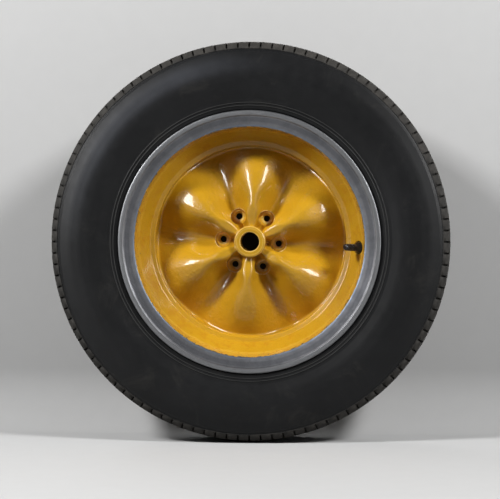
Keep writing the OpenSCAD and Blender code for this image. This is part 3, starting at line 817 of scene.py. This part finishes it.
def tyre_rubber():
    """Dark satin sidewall with a painted sheen high on the left, and a duller, greyer tread."""
    s = Shader("tyre_rubber")
    broad = s.noise(7.0, 5.0, 0.6)
    fine = s.noise(600.0, 3.0, 0.6)
    medium = s.noise(60.0, 4.0, 0.65)
    wall = s.mix(s.step(broad, 0.35, 0.7), WALL_DARK, WALL_LIGHT)
    ribs = s.plus(*(s.band(s.r, r * MM, (r + 0.8) * MM, 0.0003) for r in (214.6, 219.1)))
    wall = s.tint(wall, ribs, 0.8, WALL_RIBS)
    # Painted sheen: lighter, bluish and patchy in a band high on the left of the wall
    angle = s.math("ARCTAN2", s.z, s.x)
    painted_sheen = s.times(s.band(s.r, 0.268, 0.291, 0.010), s.band(angle, 1.75, 2.85, 0.45))
    painted_sheen = s.times(painted_sheen, s.line(broad, 0.3, 0.6, 0.3, 1.0))
    wall = s.tint(wall, painted_sheen, 0.8, WALL_SHEEN)
    smudge = s.step(s.noise(16.0, 6.0, 0.72, 0.6), 0.54, 0.72)
    wall = s.tint(wall, smudge, 0.5, WALL_SMUDGE)
    tread = s.mix(s.step(medium, 0.35, 0.7), TREAD_DARK, TREAD_LIGHT)
    on_tread = s.step(s.plus(s.r, s.spread(medium, -0.0008, 0.0008)), 0.3030, 0.3060)
    s.set(Base_Color=s.mix(on_tread, wall, tread))
    s.set(Roughness=s.blend(on_tread, s.spread(medium, 0.42, 0.52), 0.75), Specular_IOR_Level=0.2)
    height = s.plus(s.times(fine, 0.4), medium)
    s.set(Normal=s.bump(height, s.blend(on_tread, 0.00012, 0.0004)))
    return s.material


def plain_rubber(name, colour, roughness):
    """One colour with a fine grain, for rubber and moulded plastic."""
    s = Shader(name)
    grain = s.noise(900.0, 3.0, 0.6)
    dark = tuple(c * 0.7 for c in colour)
    s.set(Base_Color=s.mix(s.spread(grain), dark, colour))
    s.set(Roughness=s.spread(grain, roughness - 0.06, roughness + 0.06))
    s.set(Normal=s.bump(grain, 0.00006))
    return s.material


def metal_finish(name, colour, roughness):
    """Metal with darker patches and a very fine grain."""
    s = Shader(name)
    grain = s.noise(1400.0, 3.0, 0.6)
    broad = s.noise(160.0, 4.0, 0.6)
    dark = tuple(c * 0.62 for c in colour)
    s.set(Base_Color=s.mix(s.step(broad, 0.35, 0.7), dark, colour), Metallic=1.0)
    s.set(Roughness=s.spread(grain, roughness - 0.08, roughness + 0.1))
    s.set(Normal=s.bump(grain, 0.00002))
    return s.material


# ---------------------------------------------------------------- pieces

casting = wheel_casting()
casting.data.materials.clear()
casting.data.materials.append(painted_casting())
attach(casting, "wheel")
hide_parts("wheel_casting")

tyre_piece = tyre()
tyre_piece.data.materials.append(tyre_rubber())
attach(tyre_piece, "wheel")
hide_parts("tyre")

cap = valve_cap()
cap.data.materials.append(plain_rubber("cap_plastic", (0.006, 0.006, 0.010), 0.26))
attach(cap, "cap")
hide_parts("valve_cap")

stem = valve_stem()
brass = metal_finish("brass", (0.62, 0.43, 0.17), 0.34)
stem.data.materials.append(brass)
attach(stem, "wheel")
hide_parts("valve_stem")

cover = valve_stem_cover()
cover.data.materials.append(plain_rubber("valve_rubber", (0.008, 0.008, 0.009), 0.5))
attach(cover, "wheel")
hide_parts("valve_stem_cover")

spring = core_spring()
spring.data.materials.append(metal_finish("spring_steel", (0.5, 0.5, 0.52), 0.28))
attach(spring, "wheel")
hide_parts("core_spring")
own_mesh(spring)

# Pieces that keep the solids' own shape
FINISHES = {
    "inner_tube": plain_rubber("tube_rubber", (0.020, 0.020, 0.021), 0.6),
    "core_barrel": brass,
    "core_plug": brass,
    "core_gasket": plain_rubber("gasket", (0.42, 0.05, 0.035), 0.5),
    "core_pin": metal_finish("steel", (0.55, 0.55, 0.56), 0.3),
    "core_pin_seal": plain_rubber("seal_rubber", (0.02, 0.02, 0.02), 0.55),
    "cap_seal": plain_rubber("cap_seal_rubber", (0.03, 0.03, 0.03), 0.55),
}
for name, finish in FINISHES.items():
    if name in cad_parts:
        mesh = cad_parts[name].data
        mesh.materials.clear()
        mesh.materials.append(finish)


# ---------------------------------------------------------------- floor and backdrop

# Where the floor ends behind the wheel, the radius of the sweep there, and both parts' reach
FLOOR_END, SWEEP_R, REACH, WALL_TOP = 0.07, 0.10, 6, 4.5
PAPER_SEEN = (0.60, 0.60, 0.597), (0.62, 0.62, 0.617)
PAPER_LIT = (0.11, 0.11, 0.109), (0.13, 0.13, 0.129)
# A painted shadow on the paper behind the hub: its colour, and the radii over which it fades out
PAINTED_SHADOW, PAINTED_SHADOW_R = (0.012, 0.012, 0.012), (0.07, 0.16)


def studio_paper():
    """Pale where it is seen, straight or in a reflection, and darker for the light it gives
    back. Behind the hub it carries a painted shadow, so that the bore and the stud holes are dark."""
    s = Shader("studio_paper")
    grain = s.noise(40.0, 2.0, 0.5)
    path = s.add("ShaderNodeLightPath").outputs
    seen = s.plus(s.plus(path["Is Camera Ray"], path["Is Glossy Ray"]),
                  path["Is Transmission Ray"], clamp=True)
    colour = s.mix(seen, s.mix(grain, *PAPER_LIT), s.mix(grain, *PAPER_SEEN))
    # A painted shadow: dark near the axis, fading out
    s.set(Base_Color=s.mix(s.step(s.r, *PAINTED_SHADOW_R), PAINTED_SHADOW, colour))
    s.set(Roughness=0.9, Specular_IOR_Level=0.1)
    s.set(Alpha=s.minus(1.0, s.add("ShaderNodeNewGeometry").outputs["Backfacing"]))
    return s.material


def backdrop():
    """A pale floor, and paper that rises close behind the wheel in a curve, where the wheel's own
    shadow and the paper's painted shadow behind the hub darken what is seen through its holes.
    The paper has one side, so that it hides nothing from behind, and it keeps no lamp from the
    wheel's back."""
    low = -TYRE_R * MM
    paper = studio_paper()
    corners = [(-REACH, -REACH, low), (REACH, -REACH, low),
               (REACH, REACH, low), (-REACH, REACH, low)]
    ground = mesh_object("studio_ground", corners, [(0, 1, 2, 3)])
    ground.data.materials.append(paper)
    ground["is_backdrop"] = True
    outline = [(FLOOR_END + SWEEP_R * math.sin(t), low + SWEEP_R - SWEEP_R * math.cos(t))
               for t in np.linspace(0, TAU / 4, 16)]
    outline += [(FLOOR_END + SWEEP_R, WALL_TOP)]
    points = [(x, y, z) for y, z in outline for x in (-REACH, REACH)]
    faces = [(i, i + 1, i + 3, i + 2) for i in range(0, 2 * len(outline) - 2, 2)]
    wall = mesh_object("studio_wall", points, faces)
    wall.data.materials.append(paper)
    wall.visible_shadow = False
    wall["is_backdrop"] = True


backdrop()


# ---------------------------------------------------------------- light and camera

# Name, place, width and height, watts, whether it makes highlights and whether it lights
# surfaces. All of them point at the wheel's centre.
LAMPS = [
    ("side_left", (-2.05, -1.75, 1.15), (0.7, 1.5), 112, True, False),
    ("side_right", (2.25, -1.45, 1.15), (0.7, 1.5), 90, True, False),
    ("high_left", (-1.78, -1.45, 1.78), (0.55, 0.55), 70, False, True),
    ("high_right", (1.78, -1.45, 1.78), (0.55, 0.55), 62, False, True),
    ("back", (-1.3, 2.4, 1.5), (1.2, 1.2), 24, True, True),
    ("edge_left", (-2.75, -0.12, 1.25), (0.3, 0.9), 26, True, False),
    ("edge_right", (2.85, -0.12, 0.95), (0.3, 0.9), 24, True, False),
    ("low_right", (2.4, -1.9, -0.1), (0.5, 0.5), 1.5, True, True),
]
for name, at, size, watts, sheen, fill in LAMPS:
    light = bpy.data.lights.new(name, "AREA")
    light.shape = "RECTANGLE"
    light.size, light.size_y = size
    light.energy = watts
    lamp = bpy.data.objects.new(name, light)
    lamp.location = at
    lamp.rotation_euler = (-Vector(at)).to_track_quat("-Z", "Y").to_euler()
    lamp.visible_camera = False
    lamp.visible_glossy = sheen
    lamp.visible_diffuse = fill
    bpy.context.scene.collection.objects.link(lamp)

# The world's strength where it is seen, straight or in a reflection, and as light
WORLD_SEEN, WORLD_LIGHT = 0.15, 0.012
world = bpy.data.worlds.new("studio")
bpy.context.scene.world = world
world.use_nodes = True
tree = world.node_tree
background = tree.nodes["Background"]
path = tree.nodes.new("ShaderNodeLightPath").outputs
both, seen, strength = (tree.nodes.new("ShaderNodeMath") for _ in range(3))
tree.links.new(path["Is Camera Ray"], both.inputs[0])
tree.links.new(path["Is Glossy Ray"], both.inputs[1])
tree.links.new(both.outputs[0], seen.inputs[0])
tree.links.new(path["Is Transmission Ray"], seen.inputs[1])
seen.use_clamp = True
strength.operation = "MULTIPLY_ADD"
tree.links.new(seen.outputs[0], strength.inputs[0])
strength.inputs[1].default_value = WORLD_SEEN - WORLD_LIGHT
strength.inputs[2].default_value = WORLD_LIGHT
tree.links.new(strength.outputs[0], background.inputs["Strength"])
background.inputs["Color"].default_value = (0.97, 0.985, 1.0, 1.0)

# Camera: distance from the wheel's centre, turned to the right and raised a little
DISTANCE, TURN, RISE, LENS = 3.0, math.radians(2.95), math.radians(1.0), 134.6
AIM = Vector((-0.0016, 0.0, -0.0131))
camera_data = bpy.data.cameras.new("camera")
camera = bpy.data.objects.new("camera", camera_data)
bpy.context.scene.collection.objects.link(camera)
camera.location = (DISTANCE * math.sin(TURN) * math.cos(RISE),
                   -DISTANCE * math.cos(TURN) * math.cos(RISE), DISTANCE * math.sin(RISE))
camera.rotation_euler = (AIM - camera.location).to_track_quat("-Z", "Y").to_euler()
camera_data.sensor_width = 36
camera_data.lens = LENS
camera_data.clip_end = 50
bpy.context.scene.camera = camera
bpy.context.scene.view_settings.view_transform = "Standard"

size = {"cad": [list(map(float, c)) for c in CAD_BOX],
        "visual": [list(map(float, c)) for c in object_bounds()]}
